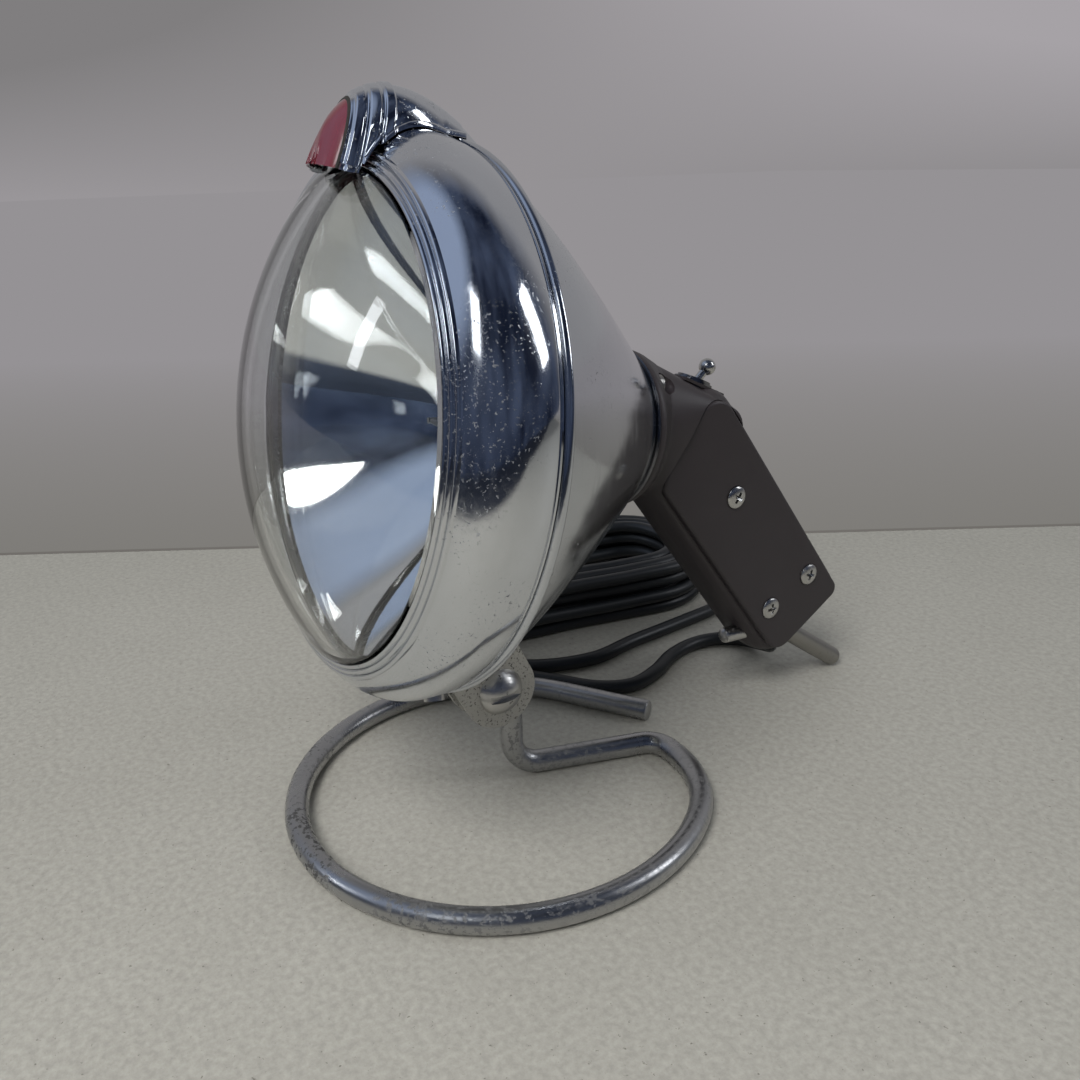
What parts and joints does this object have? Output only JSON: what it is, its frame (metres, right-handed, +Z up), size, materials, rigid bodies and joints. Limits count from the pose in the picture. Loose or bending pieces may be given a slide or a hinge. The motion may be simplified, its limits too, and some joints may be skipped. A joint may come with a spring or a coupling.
{
  "type": "portable spotlight",
  "caption": "Hand-held spotlight with a chrome lamp, pistol grip, marker lamp and coiled cord, propped on a bent rod stand with a ring foot.",
  "frame": {"origin": "on the table, under the middle of the lamp, the stand and the tail rod together, without the cord", "axes": "+Z up; the lamp looks along -Y and a little up; +X is the side with the grip cover and the clamp screw head"},
  "size_m": [0.2843, 0.27, 0.2273],
  "materials": {
    "stand_steel": "worn chrome plate with rust spots",
    "bracket_steel": "dull, pitted",
    "bright_steel": "plated",
    "chrome": "polished, lightly pitted",
    "mirror": "silvered",
    "lens_glass": "clear",
    "red_plastic": "clear dark red",
    "black_rubber": "smooth",
    "brass": "satin",
    "tungsten": "satin",
    "black_plastic": "moulded, worn satin",
    "brown_plastic": "moulded",
    "red_wire": "smooth"
  },
  "bodies": {
    "stand": {"stand_rod": "stand_steel", "cord_lead": "black_rubber", "cord_hank": "black_rubber", "cord_tail": "black_rubber", "plug_relief": "black_rubber", "plug_body": "black_plastic", "plug_contacts": "bright_steel", "plug_spring": "bright_steel"},
    "head": {"bracket": "bracket_steel", "bracket_rivets": "bracket_steel", "clamp_screw": "bright_steel", "clamp_nut": "bright_steel", "lock_washer": "bright_steel", "front_bezel": "chrome", "bezel_screw": "bright_steel", "lamp_gasket": "black_rubber", "lens_glass": "lens_glass", "reflector": "mirror", "filament": "tungsten", "filament_posts": "bright_steel", "lamp_terminals": "brass", "terminal_lugs": "brass", "retaining_ring": "bright_steel", "rear_bowl": "chrome", "marker_housing": "chrome", "marker_lens": "red_plastic", "marker_gasket": "black_rubber", "marker_bulb": "lens_glass", "marker_socket": "brass", "marker_screws": "bright_steel", "grip_body": "black_plastic", "neck_trim": "chrome", "neck_nipple": "brass", "neck_nut": "brass", "neck_screws": "bright_steel", "cover_plate": "black_plastic", "cover_screws": "bright_steel", "switch_body": "brown_plastic", "switch_bushing": "bright_steel", "switch_plate": "black_plastic", "lamp_wires": "red_wire", "tail_rod": "bright_steel", "front_peg": "bright_steel", "strain_relief": "black_rubber"},
    "toggle": {"switch_lever": "bright_steel"},
    "plug_pin": {"plug_tip": "brass"}
  },
  "joints": [
    {"name": "head_tilt", "type": "hinge", "parent": "stand", "child": "head", "pos_m": [0, -0.04583, 0.03925], "axis": [1, 0, 0], "range_deg": [0, 45]},
    {"name": "switch_toggle", "type": "hinge", "parent": "head", "child": "toggle", "pos_m": [0, 0.03877, 0.12984], "axis": [1, 0, 0], "range_deg": [0, 44]},
    {"name": "plug_tip_slide", "type": "slide", "parent": "stand", "child": "plug_pin", "axis": [-0.1736, -0.9848, 0], "range_m": [0, 0.0025], "stiffness_N_per_m": 400}
  ]
}
